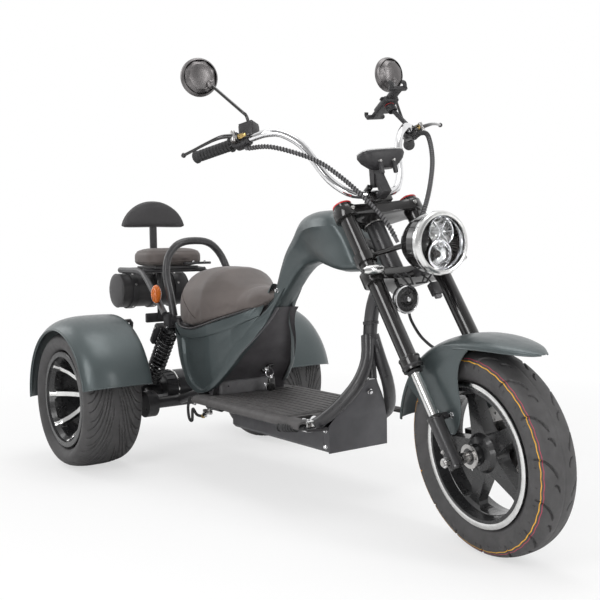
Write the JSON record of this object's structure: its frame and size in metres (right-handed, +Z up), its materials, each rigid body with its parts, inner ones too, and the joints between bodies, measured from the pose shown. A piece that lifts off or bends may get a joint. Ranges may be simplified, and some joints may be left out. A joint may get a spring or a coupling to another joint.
{
  "type": "motorized trike",
  "caption": "Electric three-wheel chopper scooter with raked fork, high bars, step-through floor, saddle, pillion seat with backrest and wide rear wheels",
  "frame": {"origin": "on the ground, at the middle of the length and width", "axes": "+X forward along the ride, +Y to the rider's left, +Z up"},
  "size_m": [2.0998, 1.008, 1.3559],
  "materials": {
    "paint": "satin metallic",
    "frame_black": "satin",
    "gloss_black": "gloss",
    "case_grey": "satin",
    "floor_mat": "ribbed",
    "dark_plastic": "matt",
    "seat_leather": "grained",
    "black_leather": "grained",
    "red_lens": "clear",
    "amber_lens": "clear",
    "shock_black": "satin",
    "motor_alloy": "cast",
    "steel": "brushed",
    "chrome": "polished",
    "lamp_glass": "clear",
    "grip_rubber": "matt",
    "rim_black": "gloss",
    "tyre": "matt"
  },
  "bodies": {
    "chassis": {"frame": "frame_black", "battery_case": "case_grey", "floorboard": "floor_mat", "tank_cover": "paint", "side_panel_right": "paint", "side_panel_left": "paint", "apron": "dark_plastic", "seat_box": "dark_plastic", "saddle": "seat_leather", "pillion_pad": "seat_leather", "backrest_pad": "black_leather", "grab_arch": "frame_black", "rear_rack": "frame_black", "tool_bag": "black_leather", "tail_lamp": "red_lens", "rear_signals": "amber_lens", "dampers": "shock_black", "springs": "shock_black", "rear_axle": "frame_black", "drive_motor": "motor_alloy", "rear_fender_right": "paint", "rear_fender_left": "paint", "brake_pedal": "steel", "brake_cylinder": "motor_alloy"},
    "fork": {"steering_stem": "frame_black", "fork_uppers": "gloss_black", "fork_sliders": "chrome", "fork_lowers": "frame_black", "front_axle": "steel", "brake_caliper": "motor_alloy", "headlight_bucket": "gloss_black", "headlight_ring": "chrome", "headlight_lens": "lamp_glass", "front_signals": "amber_lens", "horn": "dark_plastic", "front_fender": "paint", "handlebar": "chrome", "grips": "grip_rubber", "controls": "dark_plastic", "levers": "dark_plastic", "mirrors": "gloss_black", "instrument_pod": "dark_plastic", "phone_holder": "dark_plastic", "cables": "grip_rubber"},
    "front_wheel": {"front_rim": "rim_black", "front_tyre": "tyre", "brake_disc": "steel"},
    "rear_wheel_right": {"rear_rim_right": "rim_black", "rear_tyre_right": "tyre"},
    "rear_wheel_left": {"rear_rim_left": "rim_black", "rear_tyre_left": "tyre"}
  },
  "joints": [
    {"name": "steering", "type": "hinge", "parent": "chassis", "child": "fork", "pos_m": [0.76031, 0, 0.22972], "axis": [-0.5519, 0, 0.8339], "range_deg": [-29, 47]},
    {"name": "front_wheel_spin", "type": "hinge", "parent": "fork", "child": "front_wheel", "pos_m": [0.79655, -0.00688, 0.2537], "axis": [0.1304, 0.9877, 0.0863], "continuous": true},
    {"name": "rear_wheel_right_spin", "type": "hinge", "parent": "chassis", "child": "rear_wheel_right", "pos_m": [-0.718, -0.386, 0.238], "axis": [0, 1, 0], "continuous": true},
    {"name": "rear_wheel_left_spin", "type": "hinge", "parent": "chassis", "child": "rear_wheel_left", "pos_m": [-0.718, 0.386, 0.238], "axis": [0, 1, 0], "continuous": true}
  ]
}
